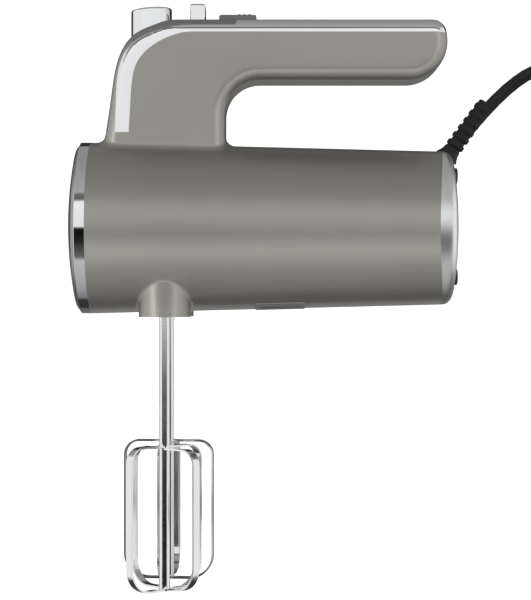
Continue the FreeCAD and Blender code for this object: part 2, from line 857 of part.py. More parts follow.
def stator_coils():
    start = motor_x - stator_length / 2
    end = motor_x + stator_length / 2
    coils = []
    for up in (-1, 1):
        near = barrel_z + up * (stator_bore + 2.5)
        far = barrel_z + up * (stator_radius - 5.5)
        low, high = min(near, far), max(near, far)
        coil = box(start - 6, end + 6, -14.5, 14.5, low - 2, high + 2).cut(
            box(start - 0.3, end + 0.3, -8.3, 8.3, low - 3, high + 3))
        coils.append(coil.common(tube_x(stator_radius - 5.8, stator_bore + 2.5, start - 7, end + 7)))
    return Part.makeCompound(coils)


def slot_bars(inner, outer, width, start, end, count):
    # radial bars round the motor's axis
    bars = []
    for n in range(count):
        bar = box(start, end, -width / 2, width / 2, barrel_z + inner, barrel_z + outer)
        bar.rotate(Vector(0, 0, barrel_z), Vector(1, 0, 0), n * 360.0 / count)
        bars.append(bar)
    return bars


def rotor_core():
    start = motor_x - stator_length / 2
    end = motor_x + stator_length / 2
    slots = slot_bars(10.0, rotor_radius + 2, 2.6, start - 1, end + 1, rotor_slots)
    return tube_x(rotor_radius, shaft_radius, start, end).cut(slots)


def rotor_windings():
    start = motor_x - stator_length / 2
    end = motor_x + stator_length / 2
    ends = [tube_x(rotor_radius - 1.4, shaft_radius + 2, start - 5, start),
            tube_x(rotor_radius - 1.4, shaft_radius + 2, end, end + 5)]
    bars = slot_bars(10.0, rotor_radius - 1.6, 2.6, start - 1, end + 1, rotor_slots)
    return joined(*ends, *bars)


def commutator():
    start = commutator_x - commutator_length / 2
    end = commutator_x + commutator_length / 2
    drum = tube_x(commutator_radius, shaft_radius, start, end)
    slits = slot_bars(commutator_radius - 1.2, commutator_radius + 1, 0.5, start - 1, end + 1,
                      commutator_bars)
    return drum.cut(slits)


def fan():
    disc = tube_x(fan_radius, shaft_radius, fan_x, fan_x + 1.5)
    hub = tube_x(7.0, shaft_radius, fan_x, fan_x + 8.0)
    blades = slot_bars(6.0, fan_radius - 0.5, 1.2, fan_x + 1, fan_x + 8.0, fan_blades)
    return joined(disc, hub, *blades)


def brush_box(side):
    # a brass box that points at the commutator
    near = commutator_radius + 1.0
    far = near + 18.0
    low, high = min(side * near, side * far), max(side * near, side * far)
    outer = box(commutator_x - 4.2, commutator_x + 4.2, low, high, barrel_z - 4.2, barrel_z + 4.2)
    channel = box(commutator_x - 3.2, commutator_x + 3.2, low - 1, high + 1, barrel_z - 3.2, barrel_z + 3.2)
    return outer.cut(channel)


def carbon_brush(side):
    near = commutator_radius + 0.1
    far = near + 9.0
    low, high = min(side * near, side * far), max(side * near, side * far)
    return box(commutator_x - 3.15, commutator_x + 3.15, low, high, barrel_z - 3.15, barrel_z + 3.15)


def coil_spring(radius, wire_radius, length, turns):
    # open coils along Z from the origin, of a wire with eight flats
    pitch = length / turns
    helix = Part.makeHelix(pitch, length, radius)
    corners = [
        Vector(radius + wire_radius * math.cos(turn), 0, wire_radius * math.sin(turn))
        for turn in [2 * math.pi * (side + 0.5) / spring_sides for side in range(spring_sides)]
    ]
    ring = Part.makePolygon(corners + corners[:1])
    return Part.Wire(helix).makePipeShell([ring], True, True)


def brush_spring(side):
    near = commutator_radius + 9.5
    spring = coil_spring(2.3, 0.35, 7.6, 6)
    spring.rotate(Vector(0, 0, 0), Vector(1, 0, 0), -90.0 * side)
    spring.translate(Vector(commutator_x, side * near, barrel_z))
    return spring


def motor_bracket():
    # spans the barrel behind the commutator and holds the rear bearing
    reach = barrel_radius(rear_bearing_x + bearing_length) - wall
    bar = box(rear_bearing_x, rear_bearing_x + bearing_length, -9, 9, barrel_z - reach - 2,
              barrel_z + reach + 2)
    bar = bar.common(rod_x(reach - 0.1, rear_bearing_x - 1, rear_bearing_x + bearing_length + 1))
    boss = rod_x(bearing_radius + 2.5, rear_bearing_x, rear_bearing_x + bearing_length)
    arms = box(rear_bearing_x, rear_bearing_x + bearing_length, -rear_screw_spread - boss_radius,
               rear_screw_spread + boss_radius, barrel_z - 6, barrel_z + 6)
    posts = [rod_x(boss_radius, rear_bearing_x, barrel_rear_x - 2.1, y, z) for y, z in rear_screw_places()]
    cuts = [rod_x(screw_radius, rear_bearing_x - 1, barrel_rear_x, y, z) for y, z in rear_screw_places()]
    cuts.append(rod_x(bearing_radius, rear_bearing_x - 1, rear_bearing_x + bearing_length + 1))
    shelf = box(rear_bearing_x, barrel_rear_x - 9, -9, 9, barrel_z + 8.5, barrel_z + 11)
    return joined(bar, boss, arms, shelf, *posts).cut(cuts)


# Controls and electrics

def eject_button():
    # a cup with a tilted, dished top, open below for its spring
    low_z = -grip_top + 7.6
    body = rod_z(eject_radius, low_z, eject_height + 4, eject_x, 0)
    tilt = math.radians(eject_tilt)
    reach = 40.0
    lid = box(-reach, reach, -reach, reach, 0, reach)
    lid.rotate(Vector(0, 0, 0), Vector(0, 1, 0), -math.degrees(tilt))
    lid.translate(Vector(eject_x, 0, eject_height))
    body = body.cut(lid)
    rim = max(body.Edges, key=lambda e: e.BoundBox.Center.z)
    body = body.makeFillet(1.2, [rim])
    dish_radius = 46.0
    dish = Part.makeSphere(dish_radius, Vector(eject_x - dish_radius * math.sin(tilt), 0, eject_height
                                               + dish_radius * math.cos(tilt) - 0.9))
    cup = rod_z(eject_radius - 2.6, low_z - 1, eject_cup_z, eject_x, 0)
    return body.cut([dish, cup])


def ejector_fork():
    # a rod from the button's cup down to a bar with one pin over each beater's shank
    bar_low = shank_top_z + 14.0
    bar_top = bar_low + 4.0
    pin_low = shank_top_z + part_gap + eject_travel
    rod = rod_z(eject_rod_radius, bar_low, eject_cup_z, eject_x, 0)
    bar = box(eject_x - 4, spindle_x + 4, -spindle_y - 3, spindle_y + 3, bar_low, bar_top)
    pins = [
        rod_z(beater_shank_radius - 0.5, pin_low, bar_low + 1, spindle_x, side * spindle_y) for side in (-1, 1)
    ]
    return joined(rod, bar, *pins)


def ejector_guide():
    # a bridge across the column that the rod slides in and the spring stands on
    half_width = grip_half - wall
    plate = box(eject_x - 8, eject_x + 12, -half_width, half_width, guide_z - 2.5, guide_z)
    return plate.cut(rod_z(eject_rod_radius + running_gap, guide_z - 4, guide_z + 2, eject_x, 0))


def eject_spring():
    # drawn at its length with the button pressed
    length = eject_cup_z - eject_travel - part_gap - guide_z - 2 * spring_wire - 0.1
    spring = coil_spring(5.2, spring_wire, length, 9)
    spring.translate(Vector(eject_x, 0, guide_z + spring_wire + 0.1))
    return spring


def speed_slider():
    neck_height = grip_top + part_gap + 1 - carriage_z
    neck = rounded_plate(slider_length, slider_neck_width, neck_height, slider_x, carriage_z, 1.6)
    knob = rounded_plate(slider_length, slider_width, slider_height - grip_top - part_gap, slider_x,
                         grip_top + part_gap, 1.6)
    crown = [e for e in knob.Edges if e.BoundBox.ZMin > slider_height - 0.01]
    carriage = box(slider_x - 5, slider_x + 5, -6, 6, carriage_z, carriage_z + 2)
    return joined(knob.makeFillet(1.2, crown), neck, carriage)


def speed_switch():
    # fixed under the slider's carriage over its whole travel
    front = slider_x - slider_travel - 5
    top = carriage_z - part_gap
    body = box(front, slider_x + 6, -9, 9, top - 13, top)
    half_width = grip_half - wall
    ears = box(front + 4, slider_x + 2, -half_width, half_width, top - 13, top - 11)
    tab_places = (front + 3, slider_x - slider_travel / 2, slider_x + 2)
    tabs = [box(x, x + 1, -4, 4, top - 18, top - 13) for x in tab_places]
    return joined(body, ears, *tabs)


def turbo_button():
    low_z = grip_top - wall - 2.9
    body = rounded_plate(turbo_length, turbo_width, turbo_height - low_z, turbo_x, low_z, 2.2)
    crown = [e for e in body.Edges if e.BoundBox.ZMin > turbo_height - 0.01]
    body = body.makeFillet(0.7, crown)
    flange = box(turbo_x - turbo_length / 2 - 1.4, turbo_x + turbo_length / 2 + 1.4, -turbo_width / 2 - 1.4,
                 turbo_width / 2 + 1.4, low_z, grip_top - wall - 0.3)
    ribs = [box(x, x + 1.3, -turbo_width / 2 + 2, turbo_width / 2 - 2, turbo_height - 1, turbo_height + 0.55)
            for x in [turbo_x + 0.2 + 2.6 * n for n in range(3)]]
    return joined(body, flange, *ribs)


def circuit_board():
    half_width = grip_half - wall
    board = box(turbo_x - 12, turbo_x + 58, -half_width, half_width, board_z - 1.6, board_z)
    holes = [rod_z(screw_radius, board_z - 3, board_z + 2, x, 0) for x in board_screw_places()]
    return board.cut(holes)


def board_screw_places():
    return [turbo_x + 20, turbo_x + 52]


def board_screws():
    return Part.makeCompound([
        joined(rod_z(screw_head_radius, board_z, board_z + screw_head_height, x, 0),
               rod_z(screw_radius, board_z - 5, board_z, x, 0))
        for x in board_screw_places()
    ])


def board_parts():
    # what stands on the board: two capacitors, a choke and a power switch with its fin
    first = turbo_x + 25
    return Part.makeCompound([
        rod_z(4.0, board_z, board_z + 11, first, 5.5),
        rod_z(4.0, board_z, board_z + 11, first, -5.5),
        tube_z(4.5, 1.8, board_z, board_z + 7, first + 10, 0),
        box(first + 16, first + 18, -7, 7, board_z, board_z + 13),
    ])


def turbo_switch():
    # a microswitch under the button's front half
    top = grip_top - wall - 2.9 - turbo_travel - part_gap
    body = box(turbo_x - 10, turbo_x - 2, -4, 4, board_z, top - 1.5)
    return joined(body, box(turbo_x - 7.5, turbo_x - 4.5, -1.5, 1.5, top - 1.6, top))


def turbo_spring():
    # drawn at its length with the button pressed
    length = grip_top - wall - 2.9 - turbo_travel - part_gap - board_z - 2 * spring_wire - 0.1
    spring = coil_spring(2.6, spring_wire, length, 6)
    spring.translate(Vector(turbo_x + 5, 0, board_z + spring_wire + 0.1))
    return spring


def terminal_block():
    body = box(rear_bearing_x + bearing_length + 6, barrel_rear_x - 10, -9, 9, barrel_z + 11, barrel_z + 20)
    screws = [rod_z(2.0, barrel_z + 16, barrel_z + 22, body.BoundBox.Center.x, y) for y in (-5, 5)]
    return body.cut(screws)


def cord_clamp():
    # a saddle behind the relief that grips the cord inside the cover
    start = relief_base - relief_direction * 13.4
    saddle = Part.makeCylinder(cord_radius + 2.0, 1.2, start, relief_direction)
    return saddle.cut(Part.makeCylinder(cord_radius, 4.0, start - relief_direction, relief_direction))


# Cord

def relief_point(distance):
    point = relief_base + relief_direction * distance
    return (point.x, point.y, point.z)


floor_z = cage_low_z
lying_z = floor_z + cord_radius
cord_route = [
    relief_point(-15.0),
    relief_point(52.0),
    (124.3, 0.0, -5.9),
    (149.0, -1.0, -30.0),
    (151.5, -3.0, -75.0),
    (148.0, -7.0, -130.0),
    (149.5, -11.0, -185.0),
    (150.5, -15.0, -229.0),
    (162.0, -19.0, -258.0),
    (193.0, -24.0, lying_z),
    (coil_x, coil_y - coil_mean_radius - cord_radius, lying_z),
]
tail_route = [
    (coil_x, coil_y + coil_mean_radius + cord_radius, lying_z + 2 * cord_radius),
    (200.0, coil_y + coil_mean_radius + 4.5, lying_z + 1.2),
    (176.0, 55.0, floor_z + plug_thickness / 2),
]


def cord_tube(route, radius, name):
    # straight runs joined by tangent arcs, each as large as its two runs allow
    points = [Vector(*p) for p in route]
    edges = []
    radii = []
    last = points[0]
    for before, here, after in zip(points, points[1:], points[2:]):
        back = before - here
        ahead = after - here
        reach = arc_share * min(back.Length, ahead.Length)
        back.normalize()
        ahead.normalize()
        start = here + back * reach
        end = here + ahead * reach
        half_turn = (math.pi - back.getAngle(ahead)) / 2
        bend = reach / math.tan(half_turn)
        inward = back + ahead
        inward.normalize()
        middle = here + inward * (bend / math.cos(half_turn) - bend)
        edges.append(Part.LineSegment(last, start).toShape())
        edges.append(Part.Arc(start, middle, end).toShape())
        radii.append(round(bend, 1))
        last = end
    edges.append(Part.LineSegment(last, points[-1]).toShape())
    path = Part.Wire(edges)
    direction = points[1] - points[0]
    ring = Part.Wire(Part.makeCircle(radius, points[0], direction))
    tube = path.makePipeShell([ring], True, False)
    share = tube.Volume / (math.pi * radius * radius * path.Length)
    print(name, "radii", radii, "length", round(path.Length, 1), "volume share", round(share, 4))
    return tube


def cord():
    return cord_tube(cord_route, cord_radius, "cord")


def cord_tail():
    return cord_tube(tail_route, cord_radius, "tail")


def coil_tie():
    # a strap round the coil's far side
    width = 7.0
    thick = 0.6
    half = coil_layers * cord_radius
    x = coil_x + coil_mean_radius
    outer = box(x - half - thick, x + half + thick, coil_y - width / 2, coil_y + width / 2, floor_z,
                floor_z + 2 * half + thick)
    inner = box(x - half, x + half, coil_y - width, coil_y + width, floor_z + thick, floor_z + 2 * half)
    return outer.cut(inner)


def cord_coil(tube, tail, tie):
    half = coil_layers * cord_radius
    top = floor_z + 2 * half
    ring = tube_z(coil_mean_radius + half, coil_mean_radius - half, floor_z, top, coil_x, coil_y)
    return ring.cut([tube, tail, tie])


def plug_body():
    # a flat moulded plug lying on the floor, its pins towards the mixer
    back = tail_route[-1]
    z = back[2]
    half = plug_thickness / 2
    side = plug_width / 2
    outline = [(back[0], -cord_radius - 1.5), (back[0] - 8, -side), (back[0] - plug_length, -side),
               (back[0] - plug_length, side), (back[0] - 8, side), (back[0], cord_radius + 1.5)]
    corners = [Vector(x, back[1] + y, z - half) for x, y in outline]
    body = Part.Face(Part.makePolygon(corners + corners[:1])).extrude(Vector(0, 0, plug_thickness))
    return body


def plug_pins():
    back = tail_route[-1]
    start = back[0] - plug_length
    pins = []
    for side in (-1, 1):
        pin = rod_x(pin_radius, start - pin_length, start, back[1] + side * pin_spacing / 2, back[2])
        tip = min(pin.Edges, key=lambda e: e.BoundBox.Center.x)
        pins.append(pin.makeFillet(1.4, [tip]))
    return Part.makeCompound(pins)


# Every piece in its own file

def pieces():
    shell = housing_shell()
    tube = cord()
    tail = cord_tail()
    tie = coil_tie()
    found = {
        "housing_left": half(shell, -1),
        "housing_right": half(shell, 1),
        "handle_trim": handle_trim(),
        "control_panel": control_panel(),
        "front_ring": front_ring(),
        "front_cap": front_cap(),
        "rear_cover": rear_cover(),
        "rear_feet": rear_feet(),
        "vent_plate": vent_plate(),
        "housing_screws": housing_screws(),
        "rear_screws": rear_screws(),
        "gearbox_cradle": gearbox_cradle(),
        "gearbox_cover": gearbox_cover(),
        "gearbox_screws": gearbox_screws(),
        "motor_shaft": motor_shaft(),
        "rotor_core": rotor_core(),
        "rotor_windings": rotor_windings(),
        "commutator": commutator(),
        "fan": fan(),
        "stator_core": stator_core(),
        "stator_coils": stator_coils(),
        "motor_bracket": motor_bracket(),
        "front_bearing": bearing(front_bearing_x),
        "middle_bearing": bearing(middle_bearing_x),
        "rear_bearing": bearing(rear_bearing_x),
        "eject_button": eject_button(),
        "ejector_fork": ejector_fork(),
        "ejector_guide": ejector_guide(),
        "eject_spring": eject_spring(),
        "speed_slider": speed_slider(),
        "speed_switch": speed_switch(),
        "turbo_button": turbo_button(),
        "turbo_switch": turbo_switch(),
        "turbo_spring": turbo_spring(),
        "circuit_board": circuit_board(),
        "board_parts": board_parts(),
        "board_screws": board_screws(),
        "terminal_block": terminal_block(),
        "cord_clamp": cord_clamp(),
        "strain_relief": strain_relief(),
        "cord": tube,
        "cord_tail": tail,
        "cord_coil": cord_coil(tube, tail, tie),
        "coil_tie": tie,
        "plug_body": plug_body().cut(tail),
        "plug_pins": plug_pins(),
    }
    for side, name in ((-1, "left"), (1, "right")):
        found["worm_wheel_" + name] = worm_wheel(side)
        found["spindle_" + name] = spindle(side)
        found["beater_shaft_" + name] = beater_shaft(side)
        found["beater_loop_outer_" + name] = beater_loop(side, 0)
        found["beater_loop_inner_" + name] = beater_loop(side, 1)
    found["spindle_bushes"] = Part.makeCompound([spindle_bush(side) for side in (-1, 1)])
    found["carbon_brushes"] = Part.makeCompound([carbon_brush(side) for side in (-1, 1)])
    found["brush_boxes"] = Part.makeCompound([brush_box(side) for side in (-1, 1)])
    found["brush_springs"] = Part.makeCompound([brush_spring(side) for side in (-1, 1)])
    return found


def write_parts():
    os.makedirs("parts", exist_ok=True)
    found = pieces()
    for name, shape in found.items():
        shape.exportStep("parts/" + name + ".step")
    print(len(found), "pieces")


if __name__ == "__main__":
    write_parts()
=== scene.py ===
import math

import bmesh
import bpy
from mathutils import Matrix, Vector


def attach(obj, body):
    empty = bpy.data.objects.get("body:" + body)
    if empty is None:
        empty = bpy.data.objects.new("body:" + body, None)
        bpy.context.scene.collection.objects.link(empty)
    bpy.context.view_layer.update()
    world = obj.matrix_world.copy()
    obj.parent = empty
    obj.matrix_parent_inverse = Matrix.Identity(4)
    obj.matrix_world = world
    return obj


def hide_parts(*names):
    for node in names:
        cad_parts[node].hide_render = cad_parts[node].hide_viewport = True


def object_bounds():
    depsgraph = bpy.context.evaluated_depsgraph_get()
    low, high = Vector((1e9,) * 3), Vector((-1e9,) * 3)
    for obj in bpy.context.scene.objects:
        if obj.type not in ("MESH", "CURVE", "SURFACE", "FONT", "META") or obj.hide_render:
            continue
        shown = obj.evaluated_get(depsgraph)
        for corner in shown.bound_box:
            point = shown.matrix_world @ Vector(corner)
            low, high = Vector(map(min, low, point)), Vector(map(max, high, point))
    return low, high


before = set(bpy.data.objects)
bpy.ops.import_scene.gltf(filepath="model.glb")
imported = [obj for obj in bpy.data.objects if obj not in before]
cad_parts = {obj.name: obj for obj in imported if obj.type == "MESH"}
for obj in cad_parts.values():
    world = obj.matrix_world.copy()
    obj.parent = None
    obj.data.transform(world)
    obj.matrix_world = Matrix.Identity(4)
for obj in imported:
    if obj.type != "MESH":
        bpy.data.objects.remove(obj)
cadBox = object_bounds()
print("frame loaded:", len(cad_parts), "nodes")

mm = 0.001
mergeGap = 0.000004
white = (1.0, 1.0, 1.0, 1.0)
floorZ = cadBox[0].z


def newObject(name, data):
    item = bpy.data.objects.new(name, data)
    bpy.context.scene.collection.objects.link(item)
    return item


# Camera: level, square to the mixer's left side
cameraSet = {"place": (-35.4, -907.0, -126.9), "lens": 105.9, "sensor": 36.0}
camera = newObject("camera", bpy.data.cameras.new("camera"))
camera.data.lens = cameraSet["lens"]
camera.data.sensor_width = cameraSet["sensor"]
camera.location = Vector(cameraSet["place"]) * mm
camera.rotation_euler = (math.pi / 2, 0, 0)
camera.data.clip_end = 50
bpy.context.scene.camera = camera


# Shader graphs, written as sums
class Wire:
    # one socket of one tree; sums, masks and mixes on it add Math nodes
    def __init__(self, tree, socket):
        self.tree = tree
        self.socket = socket

    def maths(self, operation, first, second=None):
        node = self.tree.nodes.new("ShaderNodeMath")
        node.operation = operation
        for slot, value in zip(node.inputs, (first, second)):
            if isinstance(value, Wire):
                self.tree.links.new(value.socket, slot)
            elif value is not None:
                slot.default_value = value
        return Wire(self.tree, node.outputs[0])

    def __add__(self, other):
        return self.maths("ADD", self, other)

    def __radd__(self, other):
        return self.maths("ADD", other, self)

    def __sub__(self, other):
        return self.maths("SUBTRACT", self, other)

    def __mul__(self, other):
        return self.maths("MULTIPLY", self, other)

    def clamped(self):
        return self.maths("MINIMUM", self.maths("MAXIMUM", self, 0.0), 1.0)


class Finish:
    # one material with a Principled shader; add() makes any other node
    def __init__(self, name, **fixed):
        self.material = bpy.data.materials.new(name)
        self.material.use_nodes = True
        self.tree = self.material.node_tree
        self.shader = self.tree.nodes["Principled BSDF"]
        for label, value in fixed.items():
            self.shader.inputs[label.replace("_", " ")].default_value = value
        self.place = self.add("ShaderNodeTexCoord", out="Object")

    def add(self, kind, out=0, **inputs):
        node = self.tree.nodes.new(kind)
        for label, value in inputs.items():
            socket = node.inputs[label.replace("_", " ")]
            if isinstance(value, Wire):
                self.tree.links.new(value.socket, socket)
            else:
                socket.default_value = value
        return Wire(self.tree, node.outputs[out])

    def stretched(self, x=1.0, y=1.0, z=1.0):
        return self.add("ShaderNodeMapping", Vector=self.place, Scale=(x, y, z))

    def noise(self, scale, detail=2.0, vector=None):
        return self.add("ShaderNodeTexNoise", Vector=vector or self.place, Scale=scale, Detail=detail)

    def blend(self, share, low, high):
        # between two colours by a share from 0 to 1
        node = self.tree.nodes.new("ShaderNodeMix")
        node.data_type = "RGBA"
        self.tree.links.new(share.socket, node.inputs["Factor"])
        node.inputs[6].default_value = low
        node.inputs[7].default_value = high
        return Wire(self.tree, node.outputs[2])

    def bump(self, height, strength, distance):
        return self.add("ShaderNodeBump", Height=height, Strength=strength, Distance=distance)

    def feed(self, **links):
        for label, wire in links.items():
            self.tree.links.new(wire.socket, self.shader.inputs[label.replace("_", " ")])
        return self.material


def shade(grey, warmth=0.0):
    # a linear colour from an sRGB grey of 0 to 255, its blue let down by the warmth
    def linear(value):
        value /= 255
        return value / 12.92 if value <= 0.04045 else ((value + 0.055) / 1.055) ** 2.4
    return (linear(grey), linear(grey * (1 - warmth * 0.35)), linear(grey * (1 - warmth)), 1.0)


def satinPaint(name, low, high, roughness, metallic, flake=5200.0):
    # metallic paint: fine flakes, a slow drift of tone and the faintest orange peel
    finish = Finish(name, Metallic=metallic, Coat_Weight=0.12, Coat_Roughness=0.3)
    flakes = finish.noise(flake, 1.0)
    drift = finish.noise(18.0, 2.0)
    peel = finish.noise(900.0, 1.0)
    share = (flakes * 0.6 + drift * 0.4).clamped()
    return finish.feed(
        Base_Color=finish.blend(share, low, high),
        Roughness=roughness + (flakes - 0.5) * 0.1 + (drift - 0.5) * 0.05,
        Normal=finish.bump(flakes * 0.35 + peel * 0.65, 0.06, 0.0002),
    )


def brightMetal(name, colour, roughness, smear=0.05, grain=None):
    # plated or polished metal with faint handling marks, or with a grain along one axis
    finish = Finish(name, Metallic=1.0)
    marks = finish.noise(55.0, 4.0)
    fine = finish.noise(700.0, 2.0) if grain is None else finish.noise(1.0, 3.0, finish.stretched(*grain))
    duller = tuple(part * 0.93 for part in colour[:3]) + (1.0,)
    return finish.feed(
        Base_Color=finish.blend(marks, duller, colour),
        Roughness=roughness + marks * smear + (fine - 0.5) * 0.04,
        Normal=finish.bump(fine, 0.015 if grain is None else 0.04, 0.0002),
    )


def mouldedPlastic(name, low, high, roughness, grainScale=2600.0, depth=0.12):
    # spark-eroded grain with a slow drift of tone
    finish = Finish(name, Specular_IOR_Level=0.45)
    grain = finish.noise(grainScale, 2.0)
    drift = finish.noise(24.0, 3.0)
    return finish.feed(
        Base_Color=finish.blend((drift * 0.7 + grain * 0.3).clamped(), low, high),
        Roughness=roughness + (grain - 0.5) * 0.15,
        Normal=finish.bump(grain, depth, 0.0002),
    )


def cordVinyl(name):
    finish = Finish(name, Specular_IOR_Level=0.4)
    grain = finish.noise(1500.0, 2.0)
    dust = finish.noise(40.0, 4.0)
    return finish.feed(
        Base_Color=finish.blend(dust, shade(20), shade(38)),
        Roughness=0.46 + dust * 0.16,
        Normal=finish.bump(grain, 0.1, 0.0002),
    )


housingPaint = satinPaint("warmGreyPaint", shade(152, 0.045), shade(176, 0.045), 0.42, 0.85)
capPaint = satinPaint("frontCapPaint", shade(150, 0.04), shade(182, 0.04), 0.3, 0.85)
panelPlastic = mouldedPlastic("panelGrey", shade(96, 0.02), shade(120, 0.02), 0.42)
ventPlastic = mouldedPlastic("ventGrey", shade(150, 0.03), shade(172, 0.03), 0.4)
buttonPlastic = mouldedPlastic("buttonGrey", shade(112, 0.02), shade(134, 0.02), 0.4)
chrome = brightMetal("chromePlate", (0.86, 0.87, 0.88, 1.0), 0.05)
beaterSteel = brightMetal("beaterSteel", (0.9, 0.9, 0.9, 1.0), 0.1, 0.06, (900.0, 900.0, 40.0))
plainSteel = brightMetal("plainSteel", (0.55, 0.55, 0.57, 1.0), 0.28, 0.1)
copperWire = brightMetal("copperWire", (0.72, 0.33, 0.16, 1.0), 0.3, 0.1, (2400.0, 300.0, 300.0))
brassMetal = brightMetal("brassMetal", (0.78, 0.6, 0.3, 1.0), 0.22, 0.1)
blackRubber = mouldedPlastic("blackRubber", shade(22), shade(40), 0.62, 1800.0, 0.2)
blackPlastic = mouldedPlastic("blackPlastic", shade(24), shade(42), 0.45)
whiteNylon = mouldedPlastic("whiteNylon", shade(218, 0.03), shade(232, 0.02), 0.4)
carbonBlock = mouldedPlastic("carbonBlock", shade(30), shade(52), 0.7)
boardGreen = mouldedPlastic("boardGreen", (0.012, 0.06, 0.02, 1.0), (0.02, 0.1, 0.035, 1.0), 0.35)
rearPlate = brightMetal("rearPlate", (0.93, 0.95, 0.94, 1.0), 0.34, 0.06)
boardBlue = mouldedPlastic("boardBlue", (0.02, 0.03, 0.12, 1.0), (0.03, 0.05, 0.2, 1.0), 0.35)
blackVinyl = cordVinyl("blackVinyl")
print("finishes made")


# Shapes
def finished(shape, name, finish, body, replaced, sharp=32.0, fixNormals=True):
    # a bmesh becomes a smooth-shaded piece that rides on a body
    bmesh.ops.remove_doubles(shape, verts=shape.verts, dist=mergeGap)
    if fixNormals:
        bmesh.ops.recalc_face_normals(shape, faces=shape.faces)
    for face in shape.faces:
        face.smooth = True
    limit = math.radians(sharp)
    for edge in shape.edges:
        edge.smooth = len(edge.link_faces) == 2 and edge.calc_face_angle(0.0) < limit
    data = bpy.data.meshes.new(name)
    shape.to_mesh(data)
    shape.free()
    data.materials.append(finish)
    piece = newObject(name, data)
    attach(piece, body)
    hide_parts(*replaced)
    return piece


edgeSet = {"flatAngle": 0.4, "softAngle": 30.0, "segments": 2, "sharp": 32.0, "mergeGap": 0.000002}


def softenEdges(piece, width):
    rounding = piece.modifiers.new("softEdges", "BEVEL")
    rounding.width = width
    rounding.segments = edgeSet["segments"]
    rounding.limit_method = "ANGLE"
    rounding.angle_limit = math.radians(edgeSet["softAngle"])
    rounding.harden_normals = False
    weighting = piece.modifiers.new("flatNormals", "WEIGHTED_NORMAL")
    weighting.keep_sharp = True
    return piece


def refinedCopy(node, finish, body, soften):
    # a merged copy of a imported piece, with flat faces joined up so that its edges can be softened
    shape = bmesh.new()
    shape.from_mesh(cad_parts[node].data)
    bmesh.ops.remove_doubles(shape, verts=shape.verts, dist=edgeSet["mergeGap"])
    bmesh.ops.dissolve_limit(shape, angle_limit=math.radians(edgeSet["flatAngle"]), verts=shape.verts,
                             edges=shape.edges, delimit={"NORMAL"})
    piece = finished(shape, node + "Finished", finish, body, (node,),
                     edgeSet["sharp"], False)
    if soften:
        softenEdges(piece, soften * mm)
    return piece


def turnAlong(direction):
    # a rotation that lays +Z along a direction
    return Vector(direction).to_track_quat("Z", "Y").to_matrix().to_4x4()


def spunShape(profile, steps):
    # a closed profile of (radius, height) points spun round Z
    shape = bmesh.new()
    verts = [shape.verts.new((radius, 0, height)) for radius, height in profile]
    edges = [shape.edges.new(pair) for pair in zip(verts, verts[1:] + verts[:1])]
    bmesh.ops.spin(shape, geom=verts + edges, cent=(0, 0, 0), axis=(0, 0, 1), angle=2 * math.pi, steps=steps,
                   use_merge=True)
    bmesh.ops.remove_doubles(shape, verts=shape.verts, dist=mergeGap)
    return shape


# Cord: over from the relief, down to the floor, round its coil and out to the plug
cordSet = {
    "radius": 3.25, "length": 1.27, "coilCentre": (224.0, 12.0), "outerTurn": 39.25, "innerTurn": 32.75,
    "pointsPerTurn": 20, "turns": 3.5, "reliefBase": (58.1, 0.0, -52.95), "reliefAngle": 54.0,
    "moveIn": (195.0, 245.0), "climb": (498.0, 545.0), "moveOut": (812.0, 860.0), "firstAngle": -90.0,
    "hang": [(124.3, 0.0, -5.9), (149.0, -1.0, -30.0), (151.5, -3.0, -75.0), (148.0, -7.0, -130.0),
             (149.5, -11.0, -185.0), (150.5, -15.0, -229.0), (162.0, -19.0, -258.0)],
}
reliefBase = Vector(cordSet["reliefBase"])
reliefTilt = math.radians(cordSet["reliefAngle"])
reliefWay = Vector((math.cos(reliefTilt), 0, math.sin(reliefTilt)))
lyingZ = floorZ / mm + cordSet["radius"]


def eased(value, start, end):
    share = min(max((value - start) / (end - start), 0.0), 1.0)
    return share * share * (3 - 2 * share)


def coilPoints():
    # one turn outside, one inside, up a layer, one more inside, then the last outside it
    points = []
    count = cordSet["pointsPerTurn"]
    swell = 2 / (1 + math.cos(math.pi / count))
    for step in range(1, int(cordSet["turns"] * count)):
        angle = step * 360.0 / count + cordSet["firstAngle"]
        inward = eased(angle, *cordSet["moveIn"]) - eased(angle, *cordSet["moveOut"])
        radius = cordSet["outerTurn"] + (cordSet["innerTurn"] - cordSet["outerTurn"]) * inward
        rise = 2 * cordSet["radius"] * eased(angle, *cordSet["climb"])
        turned = math.radians(angle)
        points.append((cordSet["coilCentre"][0] + radius * swell * math.cos(turned),
                       cordSet["coilCentre"][1] + radius * swell * math.sin(turned), lyingZ + rise))
    return points


def cordLine():
    coilX, coilY = cordSet["coilCentre"]
    topZ = lyingZ + 2 * cordSet["radius"]
    route = [
        tuple(reliefBase - reliefWay * 15.0),
        tuple(reliefBase + reliefWay * 52.0),
        *cordSet["hang"],
        (193.0, -24.0, lyingZ),
        (coilX, coilY - cordSet["outerTurn"], lyingZ),
    ] + coilPoints() + [
        (coilX, coilY + cordSet["outerTurn"], topZ),
        (coilX - 13.0, coilY + cordSet["outerTurn"] + 0.6, topZ - 0.6),
        (coilX - 28.0, coilY + cordSet["outerTurn"] + 1.8, lyingZ + 2.0),
        (coilX - 48.0, plugSet["centre"][1], plugSet["centre"][2]),
    ]
    curve = bpy.data.curves.new("cordLine", "CURVE")
    curve.dimensions = "3D"
    curve.bevel_depth = cordSet["radius"] * mm
    curve.bevel_resolution = 5
    curve.use_fill_caps = True
    curve.resolution_u = 10
    spline = curve.splines.new("NURBS")
    spline.points.add(len(route) - 1)
    for point, place in zip(spline.points, route):
        point.co = (*(Vector(place) * mm), 1)
    spline.order_u = 3
    spline.use_endpoint_u = True
    curve.materials.append(blackVinyl)
    return newObject("cordLine", curve), route[0]


